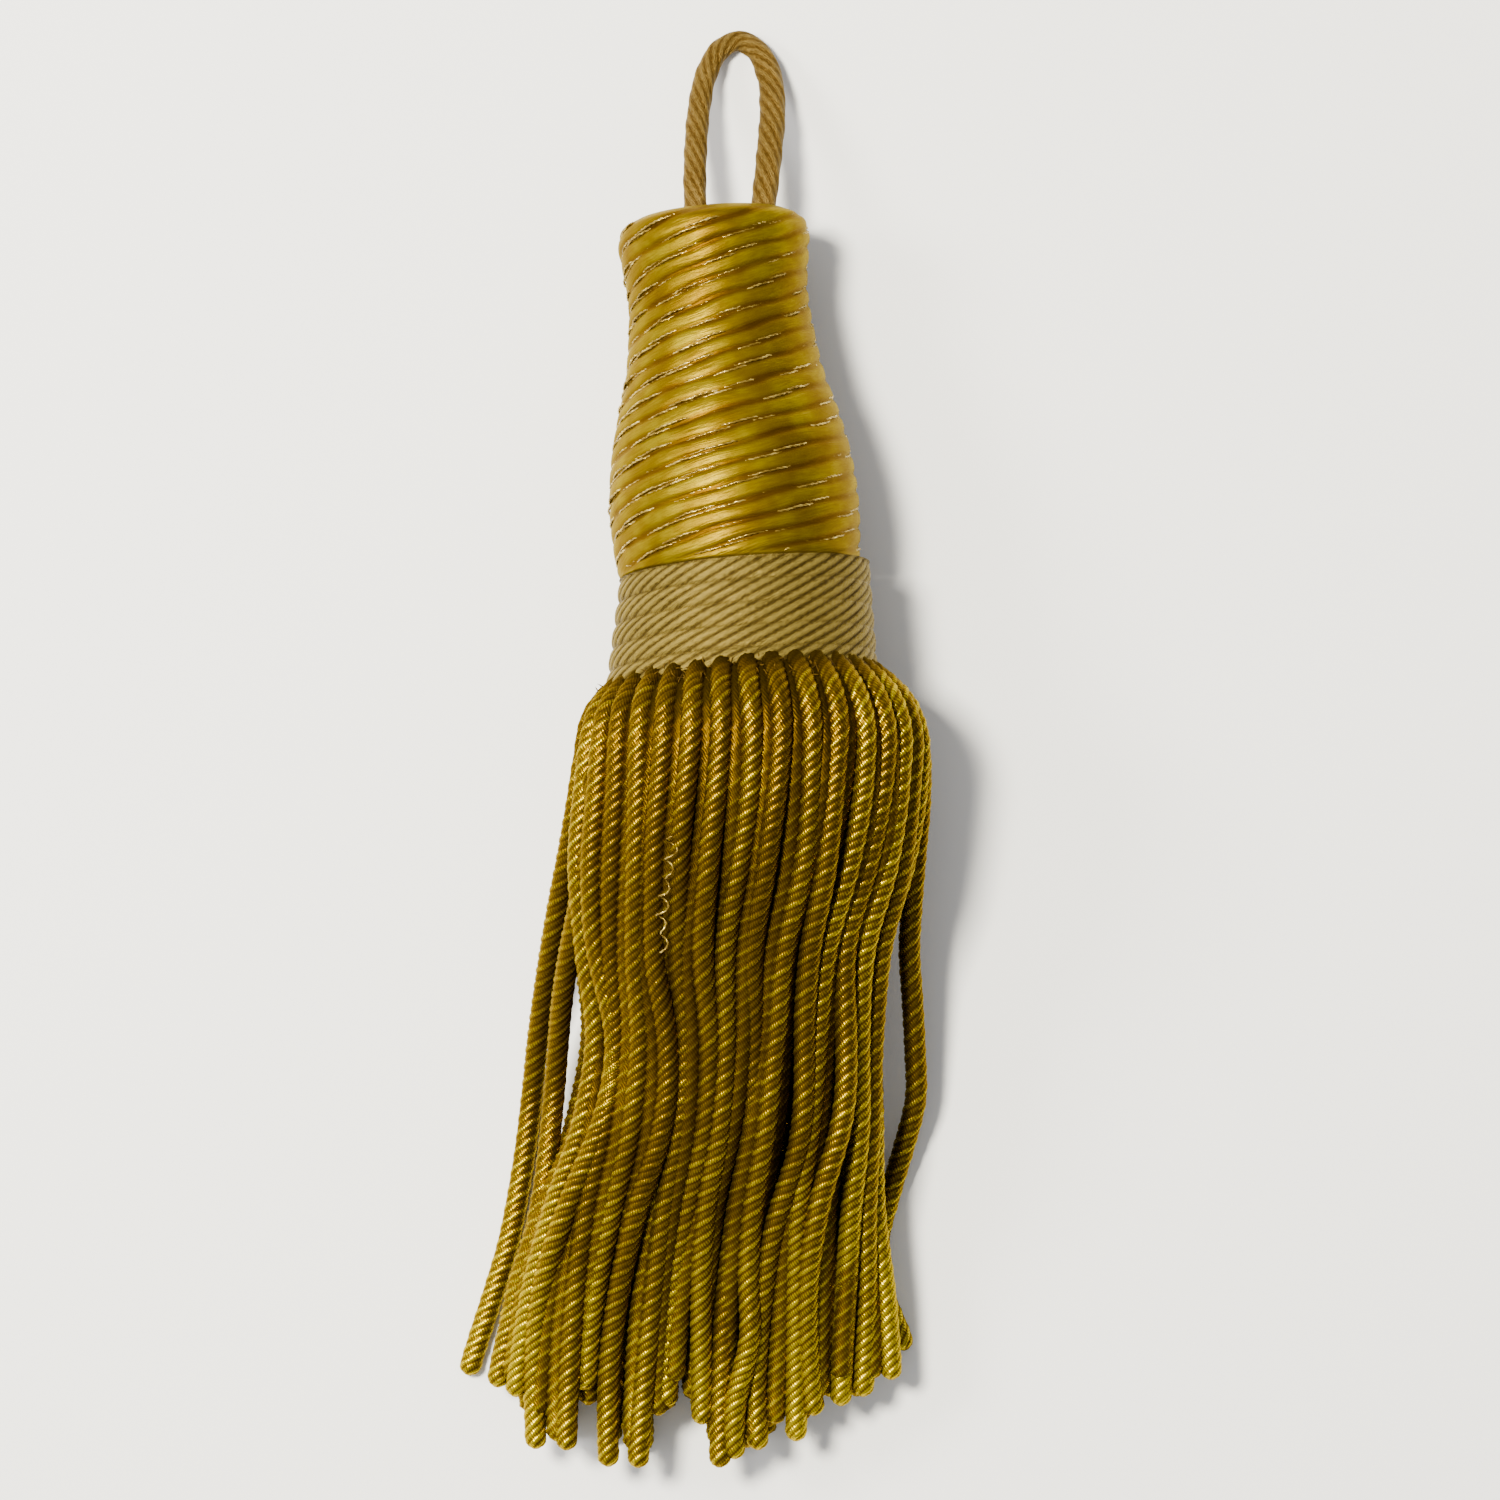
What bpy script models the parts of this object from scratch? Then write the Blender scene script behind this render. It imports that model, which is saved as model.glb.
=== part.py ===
"""Silk tassel lying on its side: a wound head, a neck cord, a bullion fringe skirt and a hanging loop.

Sizes are in millimetres, and MM turns them into metres. X runs across the tassel, Y along it
towards the hanging loop, and Z up from the surface that it lies on.
"""

import math

import bmesh
import bpy
import numpy as np
from mathutils import Euler, Matrix, Vector

MM = 0.001

# Placement: the middle of the head's top, and how the axis turns from there
HEAD_TOP = (2.1, 61.5, 10.9)
LEAN = math.radians(4.4)  # sideways, to the right going down
DIP = math.radians(6.0)  # the head end lies lower than the shoulder
ORIGIN = (-0.068, 0.221, 0.0)  # the middle of the whole tassel, which goes to X 0, Y 0
CLEARANCE = 0.3

# Head
HEAD_PROFILE = (  # down the axis, radius
    (0.0, 8.9),
    (0.6, 10.0),
    (2.2, 10.8),
    (5.0, 10.65),
    (8.5, 10.25),
    (14.0, 10.6),
    (19.0, 11.4),
    (24.0, 12.8),
    (29.0, 13.8),
    (33.0, 14.15),
    (37.4, 14.05),
    (39.6, 13.7),
)
HEAD_LENGTH = HEAD_PROFILE[-1][0]
BAND_PITCH = 2.2  # along the axis, from one satin band to the next
BAND_STARTS = 8
BAND_RELIEF = 0.22
HEAD_COLUMNS = 32
SPIGOT_RADIUS = 10.1
SPIGOT_END = 55.0

# Neck cord
NECK_TURNS = 5
NECK_CORD = 2.45
NECK_TOP = HEAD_LENGTH + CLEARANCE
NECK_OUTER = (14.3, 15.25)  # outer radius of the first and the last turn
NECK_INNER = 12.2
NECK_COLUMNS = 72
NECK_PLY_ANGLE = math.radians(27)
NECK_RELIEF = 0.12

# Hanging loop
LOOP_CORD = 2.5
LOOP_LOBES = 6
LOOP_LAY = 15.4  # length of one full twist
LOOP_RELIEF = 0.09
LOOP_STEP = 1.1
LOOP_ROUTE = (  # x, y, z of the cord's middle, from the left end to the right one
    (0.2, 62.0, 10.9),
    (0.1, 66.0, 9.7),
    (0.2, 70.0, 7.8),
    (0.6, 75.0, 5.0),
    (1.5, 79.2, 2.9),
    (3.1, 82.0, 1.7),
    (5.1, 83.0, 1.25),
    (7.1, 82.0, 1.6),
    (8.6, 79.2, 2.7),
    (9.1, 75.0, 4.9),
    (8.8, 70.0, 7.7),
    (8.4, 66.0, 9.6),
    (8.0, 62.6, 10.8),
)

# Skirt: strands of square section in two closed rings, fused to a heading under the neck cord
STRAND = 2.0
OUTER_STRANDS = 34
INNER_STRANDS = 26
INNER_LEFT_OUT = (12, 25)  # where the flat end of the inner ring has no room for two strands
LAYER = 3.0  # from the outer ring to the inner one, at the sides
LAYER_HEIGHT = 2.45  # the same, above and below
HEADING_PROFILE = (  # down the axis, radius; the inner wall follows the spigot
    (43.0, 11.9),
    (53.0, 11.9),
    (53.2, 15.0),
    (54.8, 16.5),
    (57.0, 16.5),
)
HEADING_COLUMNS = 48
OUTER_ROOT = ((54.6, 14.4), (55.5, 16.5), (57.4, 18.2), (60.0, 19.0))  # down the axis, radius
INNER_ROOT = ((56.2, 11.7), (58.4, 12.8), (61.0, 14.8))
SECTIONS = (  # y, middle in x, half width, top: of the closed curve that the outer strands follow
    (-4.0, 6.45, 19.4, 36.0),
    (-13.0, 5.5, 19.4, 33.5),
    (-23.0, 4.2, 17.8, 28.8),
    (-33.0, 4.2, 16.6, 24.6),
    (-43.0, 3.4, 17.3, 21.2),
    (-53.0, 1.6, 19.2, 16.9),
    (-63.0, 0.4, 21.3, 13.2),
    (-73.0, -0.3, 22.5, 10.7),
    (-84.0, -0.6, 23.0, 9.8),
)
SQUARE_FROM, SQUARE_TO = -20.0, -70.0  # y where the sections start and end turning from round to flat
SQUARE_MOST = 0.9
SLANT_END = -28.0  # y where the sections have turned upright from square to the axis
FAN_FROM = -48.0  # y from where the strands turn towards their own tips
OUTER_TIPS = {  # strand number: x and y of its tip, from the right side over the top to the left
    33: (24.9, -70.3),
    0: (22.5, -73.7),
    1: (19.7, -75.3),
    2: (17.1, -76.3),
    3: (14.1, -77.3),
    4: (11.2, -80.4),
    5: (8.3, -81.4),
    6: (5.6, -82.6),
    7: (3.1, -83.3),
    8: (0.2, -78.4),
    9: (-3.2, -76.3),
    10: (-6.1, -83.2),
    11: (-9.4, -83.6),
    12: (-12.2, -74.8),
    13: (-15.1, -81.9),
    14: (-17.9, -81.6),
    15: (-20.8, -75.8),
    16: (-23.3, -74.8),
    17: (-26.4, -73.4),
}
LOOSE = {  # strand number: rows of y, shift in x and height where it lies away from its ring
    33: (
        (-13.0, 0.0, 16.3),
        (-23.0, 2.6, 13.0),
        (-33.0, 4.6, 9.0),
        (-43.0, 4.8, 5.0),
        (-53.0, 2.6, 2.0),
        (-63.0, 1.2, 1.05),
        (-84.0, 2.6, 1.05),
    ),
    16: (
        (-13.0, 0.0, 18.6),
        (-23.0, -0.4, 15.0),
        (-33.0, -3.0, 9.0),
        (-43.0, -3.0, 7.0),
        (-53.0, -0.4, 8.8),
        (-63.0, 0.0, 7.6),
        (-84.0, 0.0, 6.2),
    ),
    17: (
        (-13.0, -1.2, 15.8),
        (-23.0, -3.6, 12.0),
        (-33.0, -6.2, 5.0),
        (-43.0, -6.4, 1.05),
        (-53.0, -3.6, 1.05),
        (-63.0, -2.8, 1.05),
        (-84.0, -3.3, 1.05),
    ),
}
SHORTER = (1.0, 4.0)  # how much shorter the hidden strands are than the tips over them, least and most
GOLDEN = 0.618034  # spreads values evenly over the strands


def curve_through(knots, values, at):
    """A smooth curve through the values at rising knots, read at the places in at."""
    knots = np.asarray(knots, float)
    values = np.asarray(values, float)
    at = np.clip(np.asarray(at, float), knots[0], knots[-1])
    slopes = np.gradient(values, knots, axis=0)
    i = np.clip(np.searchsorted(knots, at, side="right") - 1, 0, len(knots) - 2)
    span = knots[i + 1] - knots[i]
    t = (at - knots[i]) / span
    if values.ndim > 1:
        t, span = t[..., None], span[..., None]
    start = (2 * t**3 - 3 * t**2 + 1) * values[i] + (t**3 - 2 * t**2 + t) * span * slopes[i]
    return start + (3 * t**2 - 2 * t**3) * values[i + 1] + (t**3 - t**2) * span * slopes[i + 1]


def ease(value):
    """0 below 0, 1 above 1, smooth between."""
    value = min(max(value, 0.0), 1.0)
    return value * value * (3 - 2 * value)


def axis_turn():
    """Turns a shape whose +Z is the way up the tassel into its lying place."""
    return Euler((-(math.pi / 2 + DIP), 0.0, LEAN), "XYZ")


def axis_frame():
    return Matrix.Translation(Vector(HEAD_TOP)) @ axis_turn().to_matrix().to_4x4()


def material(name, colour, roughness, metallic):
    made = bpy.data.materials.new(name)
    made.use_nodes = True
    shader = made.node_tree.nodes["Principled BSDF"]
    shader.inputs["Base Color"].default_value = (*colour, 1.0)
    shader.inputs["Roughness"].default_value = roughness
    shader.inputs["Metallic"].default_value = metallic
    made.diffuse_color = (*colour, 1.0)
    return made


def add_object(name, bm, collection, parent, finish, smooth_angle=40):
    """Ends a mesh in millimetres as an object in metres."""
    bmesh.ops.scale(bm, vec=(MM, MM, MM), verts=bm.verts)
    bmesh.ops.recalc_face_normals(bm, faces=bm.faces)
    mesh = bpy.data.meshes.new(name)
    bm.to_mesh(mesh)
    bm.free()
    mesh.shade_smooth()
    mesh.set_sharp_from_angle(angle=math.radians(smooth_angle))
    mesh.materials.append(finish)
    made = bpy.data.objects.new(name, mesh)
    collection.objects.link(made)
    made.parent = parent
    return made


def join_rings(bm, near, far):
    for i in range(len(near)):
        j = (i + 1) % len(near)
        bm.faces.new((near[i], near[j], far[j], far[i]))


def loft(bm, rings):
    """A closed body through rings of points, with its first and last ring filled."""
    loops = [[bm.verts.new(point) for point in ring] for ring in rings]
    for near, far in zip(loops, loops[1:]):
        join_rings(bm, near, far)
    bm.faces.new(loops[0][::-1])
    bm.faces.new(loops[-1])


def turned_ring(bm, down, radius, columns, turn=0.0):
    """Points round the axis; down runs from the top of the head."""
    angles = [2 * math.pi * i / columns + turn for i in range(columns)]
    return [bm.verts.new((radius * math.cos(a), radius * math.sin(a), -down)) for a in angles]


def make_head(collection, parent, finish):
    """A turned core whose skin has the satin bands as helical ribs, one row of points on each crest."""
    bm = bmesh.new()
    row = BAND_PITCH / 2
    climb = BAND_STARTS * BAND_PITCH / HEAD_COLUMNS
    rows_a_turn = round(BAND_STARTS * BAND_PITCH / row)
    profile_down, profile_radius = zip(*HEAD_PROFILE)
    skin = {}

    def skin_point(i, column):
        down = i * row - column * climb
        relief = BAND_RELIEF if i % 2 == 0 else -BAND_RELIEF
        if down <= 0 or down >= HEAD_LENGTH:
            down, relief = min(max(down, 0.0), HEAD_LENGTH), 0.0
        key = (column, round(down, 4))
        if key not in skin:
            radius = float(curve_through(profile_down, profile_radius, down)) + relief
            angle = 2 * math.pi * column / HEAD_COLUMNS
            skin[key] = bm.verts.new((radius * math.cos(angle), radius * math.sin(angle), -down))
        return skin[key]

    rows = math.ceil(HEAD_LENGTH / row) + rows_a_turn + 1
    for column in range(HEAD_COLUMNS):
        across = (column + 1) % HEAD_COLUMNS
        back = rows_a_turn if across == 0 else 0
        for i in range(rows):
            corners = (
                skin_point(i, column),
                skin_point(i + 1, column),
                skin_point(i + 1 - back, across),
                skin_point(i - back, across),
            )
            unique = list(dict.fromkeys(corners))
            if len(unique) > 2:
                bm.faces.new(unique)

    top = [skin[(column, 0.0)] for column in range(HEAD_COLUMNS)]
    bottom = [skin[(column, round(HEAD_LENGTH, 4))] for column in range(HEAD_COLUMNS)]
    shoulder = turned_ring(bm, HEAD_LENGTH, SPIGOT_RADIUS, HEAD_COLUMNS)
    end = turned_ring(bm, SPIGOT_END, SPIGOT_RADIUS, HEAD_COLUMNS)
    bm.faces.new(top)
    join_rings(bm, bottom, shoulder)
    join_rings(bm, shoulder, end)
    bm.faces.new(end)
    rest_on_floor(bm)
    return add_object("head", bm, collection, parent, finish)


def rest_on_floor(bm):
    """Presses a small flat spot where a shape in the axis frame would reach below the floor."""
    frame = axis_frame()
    back = frame.inverted()
    for vert in bm.verts:
        place = frame @ vert.co
        if place.z < 0:
            place.z = 0.0
            vert.co = back @ place


def make_neck_cord(collection, parent, finish):
    """A sleeve with one round ridge for each turn of cord and the cord's plies as slanting ribs."""
    bm = bmesh.new()
    half = NECK_CORD / 2
    height = NECK_TURNS * NECK_CORD
    column_angle = 2 * math.pi / NECK_COLUMNS
    columns_back = round(height / (math.tan(NECK_PLY_ANGLE) * NECK_OUTER[0]) / column_angle)
    outer = []
    levels = [(0, -1.0)] + [(turn, place) for turn in range(NECK_TURNS) for place in (-0.5, 0.5, 1.0)]
    for turn, place in levels:
        below_top = (turn + 0.5) * NECK_CORD + place * half
        middle = NECK_OUTER[0] + turn / (NECK_TURNS - 1) * (NECK_OUTER[1] - NECK_OUTER[0]) - half
        in_groove = abs(place) == 1.0
        radius = middle + (0.3 * half if in_groove else half * math.sqrt(1 - place**2))
        relief = 0.0 if in_groove else NECK_RELIEF
        shear = -columns_back * column_angle * below_top / height
        ring = turned_ring(bm, NECK_TOP + below_top, radius, NECK_COLUMNS, shear)
        for i, vert in enumerate(ring):
            outward = 1 + (relief if i % 2 == 0 else -relief) / radius
            vert.co.x *= outward
            vert.co.y *= outward
        outer.append(ring)
    for near, far in zip(outer, outer[1:]):
        join_rings(bm, near, far)
    inner_top = turned_ring(bm, NECK_TOP, NECK_INNER, NECK_COLUMNS)
    inner_end = turned_ring(bm, NECK_TOP + height, NECK_INNER, NECK_COLUMNS)
    join_rings(bm, inner_top, inner_end)
    join_rings(bm, inner_top, outer[0])
    join_rings(bm, [inner_end[(i - columns_back) % NECK_COLUMNS] for i in range(NECK_COLUMNS)], outer[-1])
    return add_object("neck_cord", bm, collection, parent, finish)


def route_frames(points):
    """Unit tangents of a route, and a direction across it that turns as little as it can."""
    points = np.asarray(points)
    tangents = np.gradient(points, axis=0)
    tangents /= np.linalg.norm(tangents, axis=1)[:, None]
    across = np.empty_like(tangents)
    guess = np.array((0.0, 0.0, 1.0))
    for i, tangent in enumerate(tangents):
        guess = guess - tangent * np.dot(guess, tangent)
        guess = guess / np.linalg.norm(guess)
        across[i] = guess
    return tangents, across


def make_hanging_loop(collection, parent, finish):
    """A twisted cord with raised plies, swept along the loop's route."""
    knots = np.concatenate(([0.0], np.cumsum(np.linalg.norm(np.diff(LOOP_ROUTE, axis=0), axis=1))))
    length = knots[-1]
    steps = round(length / LOOP_STEP)
    along = np.linspace(0.0, length, steps + 1)
    points = curve_through(knots, LOOP_ROUTE, along)
    tangents, across = route_frames(points)
    rings = []
    for distance, point, tangent, side in zip(along, points, tangents, across):
        other = np.cross(tangent, side)
        twist = -2 * math.pi * distance / LOOP_LAY
        ring = []
        for i in range(2 * LOOP_LOBES):
            angle = twist + math.pi * i / LOOP_LOBES
            radius = LOOP_CORD / 2 - (0 if i % 2 == 0 else 2 * LOOP_RELIEF)
            ring.append(Vector(point + radius * (math.cos(angle) * side + math.sin(angle) * other)))
        rings.append(ring)
    lowest = min(point.z for ring in rings for point in ring)
    bm = bmesh.new()
    loft(bm, [[point - Vector((0, 0, min(lowest, 0.0))) for point in ring] for ring in rings])
    return add_object("hanging_loop", bm, collection, parent, finish)


def closed_curve(middle_x, half_width, low, top, squareness, samples=720):
    """Points evenly along a closed curve between a round and a flat oval, from its right side over its top."""
    angles = np.linspace(0, 2 * math.pi, samples + 1)
    power = 2 / (2 + squareness)
    x = middle_x + half_width * np.sign(np.cos(angles)) * np.abs(np.cos(angles)) ** power
    z = (low + top) / 2 + (top - low) / 2 * np.sign(np.sin(angles)) * np.abs(np.sin(angles)) ** power
    steps = np.hypot(np.diff(x), np.diff(z))
    return np.stack((x, z), axis=1), np.concatenate(([0.0], np.cumsum(steps))) / steps.sum()


def on_curve(curve, share):
    """The point of a closed curve at a share of its length, and the direction of the curve there."""
    points, shares = curve
    place = np.array([np.interp(share % 1, shares, points[:, k]) for k in (0, 1)])
    ahead = np.array([np.interp((share + 0.004) % 1, shares, points[:, k]) for k in (0, 1)])
    behind = np.array([np.interp((share - 0.004) % 1, shares, points[:, k]) for k in (0, 1)])
    direction = ahead - behind
    return place, direction / np.linalg.norm(direction)


def slanted(x, z, y, middle_x, middle_z):
    """A point of a section that is square to the axis at the shoulder and upright further down."""
    share = 1 - ease((6.0 - y) / (6.0 - SLANT_END))
    return np.array((x, y + share * (math.tan(LEAN) * (x - middle_x) + math.tan(DIP) * (z - middle_z)), z))


def root_stations(root, ring_share, lowest):
    """Where a strand leaves the heading: points on circles round the axis, pressed flat below."""
    down_way = axis_turn().to_matrix() @ Vector((0, 0, -1))
    stations = []
    for down, radius in root:
        middle = Vector(HEAD_TOP) + down_way * down
        low = max(middle.z - radius, lowest)
        place, direction = on_curve(closed_curve(middle.x, radius, low, middle.z + radius, 0.0), ring_share)
        point = slanted(place[0], place[1], middle.y, middle.x, middle.z)
        stations.append((point, np.array((direction[0], 0.0, direction[1]))))
    return stations


def section_stations(ring_share, inset_x, inset_z):
    """Where a strand lies further down: points on the closed curves of the sections."""
    stations = []
    for y, middle_x, half_width, top in SECTIONS:
        squareness = SQUARE_MOST * ease((SQUARE_FROM - y) / (SQUARE_FROM - SQUARE_TO))
        low = STRAND / 2 + inset_z
        curve = closed_curve(middle_x, half_width - inset_x, low, top - inset_z, squareness)
        place, direction = on_curve(curve, ring_share)
        point = slanted(place[0], place[1], y, middle_x, (low + top) / 2)
        stations.append((point, np.array((direction[0], 0.0, direction[1]))))
    return stations


def tip_of(x):
    """The y where a hidden strand would end if it were as long as the tips over it."""
    tips = sorted(OUTER_TIPS.values())
    return float(np.interp(x, [tip[0] for tip in tips], [tip[1] for tip in tips]))


def strand_stations(number, outer):
    """Points along one strand, and the direction across it, from inside the heading to its tip."""
    count = OUTER_STRANDS if outer else INNER_STRANDS
    share = (number + 0.5) / count
    inset_x, inset_z = (0.0, 0.0) if outer else (LAYER, LAYER_HEIGHT)
    stations = root_stations(OUTER_ROOT if outer else INNER_ROOT, share, STRAND / 2 + inset_z)
    rooted = len(stations)
    stations += section_stations(share, inset_x, inset_z)
    shift_to_tip = 0.0
    if outer and number in OUTER_TIPS:
        tip_x, tip_y = OUTER_TIPS[number]
        if number not in LOOSE:
            shift_to_tip = tip_x - stations[-1][0][0]
    else:
        spread = (number * GOLDEN) % 1
        tip_y = tip_of(stations[-1][0][0]) + SHORTER[0] + spread * (SHORTER[1] - SHORTER[0])
    for point, _ in stations[rooted:]:
        point[0] += shift_to_tip * ease((FAN_FROM - point[1]) / (FAN_FROM - tip_y))
    if outer and number in LOOSE:
        lies_y, shifts, heights = (np.array(column, float) for column in zip(*LOOSE[number]))
        for point, _ in stations[rooted + 1 :]:
            down = -point[1]
            point[0] += np.interp(down, -lies_y, shifts)
            point[2] = np.interp(down, -lies_y, heights)
    return end_at(stations, tip_y)


def end_at(stations, tip_y):
    """Cuts a row of stations off at the strand's tip."""
    kept = [station for station in stations if station[0][1] > tip_y + 1.0]
    before, after = stations[len(kept) - 1], stations[len(kept)]
    share = (before[0][1] - tip_y) / (before[0][1] - after[0][1])
    return kept + [tuple(before[k] + share * (after[k] - before[k]) for k in (0, 1))]


def add_strand(bm, stations):
    """A strand of square section whose sides keep square to its ring."""
    points = np.array([station[0] for station in stations])
    tangents = np.gradient(points, axis=0)
    half = STRAND / 2
    rings = []
    for point, tangent, (_, direction) in zip(points, tangents, stations):
        tangent = tangent / np.linalg.norm(tangent)
        side = direction - tangent * np.dot(direction, tangent)
        side /= np.linalg.norm(side)
        out = np.cross(side, tangent)
        corners = ((1, 1), (1, -1), (-1, -1), (-1, 1))
        rings.append([Vector(point + half * (a * side + b * out)) for a, b in corners])
    for ring in rings:
        for corner in ring:
            corner.z = max(corner.z, 0.0)
    loft(bm, rings)


def mesh_object(name, bm, collection):
    mesh = bpy.data.meshes.new(name)
    bmesh.ops.recalc_face_normals(bm, faces=bm.faces)
    bm.to_mesh(mesh)
    bm.free()
    made = bpy.data.objects.new(name, mesh)
    collection.objects.link(made)
    return made


def make_skirt(collection, cutters, parent, finish):
    """All strands of the bullion fringe, fused at their roots to the heading."""
    heading = bmesh.new()
    outline = [(down, radius) for down, radius in HEADING_PROFILE]
    inner = SPIGOT_RADIUS + CLEARANCE
    outline = [(outline[0][0], inner)] + outline + [(outline[-1][0], inner)]
    rings = [turned_ring(heading, down, radius, HEADING_COLUMNS) for down, radius in outline]
    for near, far in zip(rings, rings[1:] + rings[:1]):
        join_rings(heading, near, far)
    bmesh.ops.transform(heading, matrix=axis_frame(), verts=heading.verts)
    strands = bmesh.new()
    for number in range(OUTER_STRANDS):
        add_strand(strands, strand_stations(number, outer=True))
    for number in range(INNER_STRANDS):
        if number not in INNER_LEFT_OUT:
            add_strand(strands, strand_stations(number, outer=False))
    body = mesh_object("heading", heading, cutters)
    fringe = mesh_object("fringe", strands, cutters)
    fringe.hide_render = True
    fringe.display_type = "WIRE"
    union = body.modifiers.new("fuse the roots", "BOOLEAN")
    union.operation = "UNION"
    union.solver = "EXACT"
    union.object = fringe
    view = bpy.context.evaluated_depsgraph_get()
    fused = bpy.data.meshes.new_from_object(body.evaluated_get(view))
    bm = bmesh.new()
    bm.from_mesh(fused)
    bpy.data.objects.remove(body)
    bpy.data.objects.remove(fringe)
    return add_object("skirt", bm, collection, parent, finish)


def empty(name, collection, parent=None):
    made = bpy.data.objects.new(name, None)
    collection.objects.link(made)
    made.parent = parent
    return made


def main():
    for old in list(bpy.data.objects):
        bpy.data.objects.remove(old)
    collection = bpy.data.collections.new("silk_tassel")
    cutters = bpy.data.collections.new("cutters")
    for made in (collection, cutters):
        bpy.context.scene.collection.children.link(made)

    lying = empty("tassel", collection)
    lying.location = Vector(ORIGIN) * -MM
    axis = empty("tassel_axis", collection, lying)
    axis.location = Vector(HEAD_TOP) * MM
    axis.rotation_euler = axis_turn()

    satin = material("olive gold satin", (0.36, 0.27, 0.05), 0.42, 0.2)
    cream = material("cream cord", (0.50, 0.38, 0.13), 0.6, 0.0)
    brown = material("brown gold cord", (0.33, 0.20, 0.06), 0.55, 0.1)
    bullion = material("gold bullion", (0.45, 0.30, 0.03), 0.35, 0.7)
    make_head(collection, axis, satin)
    make_neck_cord(collection, axis, cream)
    make_hanging_loop(collection, lying, brown)
    make_skirt(collection, cutters, lying, bullion)


main()
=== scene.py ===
"""The looks of a silk tassel with a bullion fringe, on a plain pale floor, seen from above.

Lengths are in millimetres until the meshes are made, in the tassel's design coordinates; ORIGIN takes
them to the frame's coordinates. Lights and the floor are in metres.
"""

import math

import bpy
import numpy as np
from mathutils import Euler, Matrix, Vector


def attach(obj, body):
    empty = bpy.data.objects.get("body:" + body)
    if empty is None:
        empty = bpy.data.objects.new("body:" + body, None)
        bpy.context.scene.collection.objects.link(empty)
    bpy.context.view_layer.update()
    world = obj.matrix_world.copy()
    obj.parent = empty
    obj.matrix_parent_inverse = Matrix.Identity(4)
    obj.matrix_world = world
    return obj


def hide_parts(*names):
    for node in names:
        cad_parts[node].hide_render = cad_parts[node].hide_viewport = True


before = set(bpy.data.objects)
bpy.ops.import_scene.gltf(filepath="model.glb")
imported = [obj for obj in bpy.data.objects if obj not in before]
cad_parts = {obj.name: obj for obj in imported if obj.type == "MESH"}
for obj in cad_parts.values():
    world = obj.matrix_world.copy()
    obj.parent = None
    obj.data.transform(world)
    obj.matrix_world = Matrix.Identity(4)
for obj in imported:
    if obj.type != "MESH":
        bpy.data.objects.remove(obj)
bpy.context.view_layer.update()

MM = 0.001
ORIGIN = np.array((-0.068, 0.221, 0.0))
FLOOR_GAP = 0.02
CHANCE = np.random.default_rng(7)

# Every cord's mesh
FIRST_SIDE = (0.1, 0.05, 1.0)  # rough direction across a route where it starts
END_REACH = 0.9  # length over which a cord's end is rounded, against its radius
END_LEAST = 0.03

# Photograph's view: straight down on the lying tassel
CAMERA_HEIGHT = 800.0
CAMERA_MIDDLE = (6.5, 0.0)
SENSOR_WIDTH = 36.0
LENS = 163.8
NEAREST, FARTHEST = 0.05, 10.0  # what the camera sees, in metres

# The tassel's axis
HEAD_TOP = np.array((2.1, 61.5, 10.9))
LEAN = math.radians(4.4)
DIP = math.radians(6.0)
AXIS = np.array(Euler((-(math.pi / 2 + DIP), 0.0, LEAN), "XYZ").to_matrix())
DOWN_WAY = -AXIS[:, 2]

# Head
HEAD_FLAT = (  # the flat top from its middle outwards: down the axis, radius
    (0.9, 0.4),
    (0.9, 5.0),
    (0.2, 6.2),
    (0.0, 7.6),
)
HEAD_PROFILE = (  # down the axis, radius
    (0.0, 8.9),
    (0.6, 10.0),
    (2.2, 10.8),
    (5.0, 10.65),
    (8.5, 10.25),
    (14.0, 10.6),
    (19.0, 11.4),
    (24.0, 12.8),
    (29.0, 13.8),
    (33.0, 14.15),
    (37.4, 14.1),
    (41.2, 13.7),
)
HEAD_LENGTH = HEAD_PROFILE[-1][0]
HEAD_ROWS = 190
HEAD_COLUMNS = 200
HEAD_MAP_RADIUS = 12.0
SPIGOT_RADIUS = 10.1
SPIGOT_END = 53.0

# Satin bands wound round the head
BAND_PITCH = 2.2
BAND_STARTS = 8
BAND_HEIGHT = 0.12
BAND_CROWN = 0.08
BAND_RELIEF = 0.15
BAND_FADE = 0.8  # length over which the bands flatten at the head's two ends
BAND_WANDER = (  # share of the pitch, waves round the head, turn per millimetre down
    (0.07, 2, 0.55),
    (0.05, 5, -0.9),
)
GROOVE_FLOOR, GROOVE_SIDE = 0.06, 0.2  # shares of the pitch from the groove's middle
CROWN_REACH, CROWN_POWER = 0.38, 2.5

# Metal threads in the groove between two bands
THREAD = 0.36
THREAD_LAY = 1.5
THREAD_RELIEF = 0.14
THREAD_STEP = 0.36
THREAD_RADIUS = 12.5  # of its path round the head, on average
THREAD_FROM, THREAD_TO = 0.9, HEAD_LENGTH - 0.5
THREAD_LOWEST = 0.3
GROOVE_THREADS = (  # shift down the head, height against its profile
    (-0.24, -0.08),
    (0.16, -0.05),
)
SUNK = 0.2  # how much deeper the threads lie on the right
DIP_DEPTH = 0.19
DIPS = (  # waves a radian round the head, shift from one groove to the next and between its threads
    (5.3, 2.1, 1.0),
    (9.7, 1.0, 2.5),
)
WANDER_STEP, WANDER_WINDOW = 0.25, 9
WANDER_OUT, WANDER_DOWN = 0.1, 0.12

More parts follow.
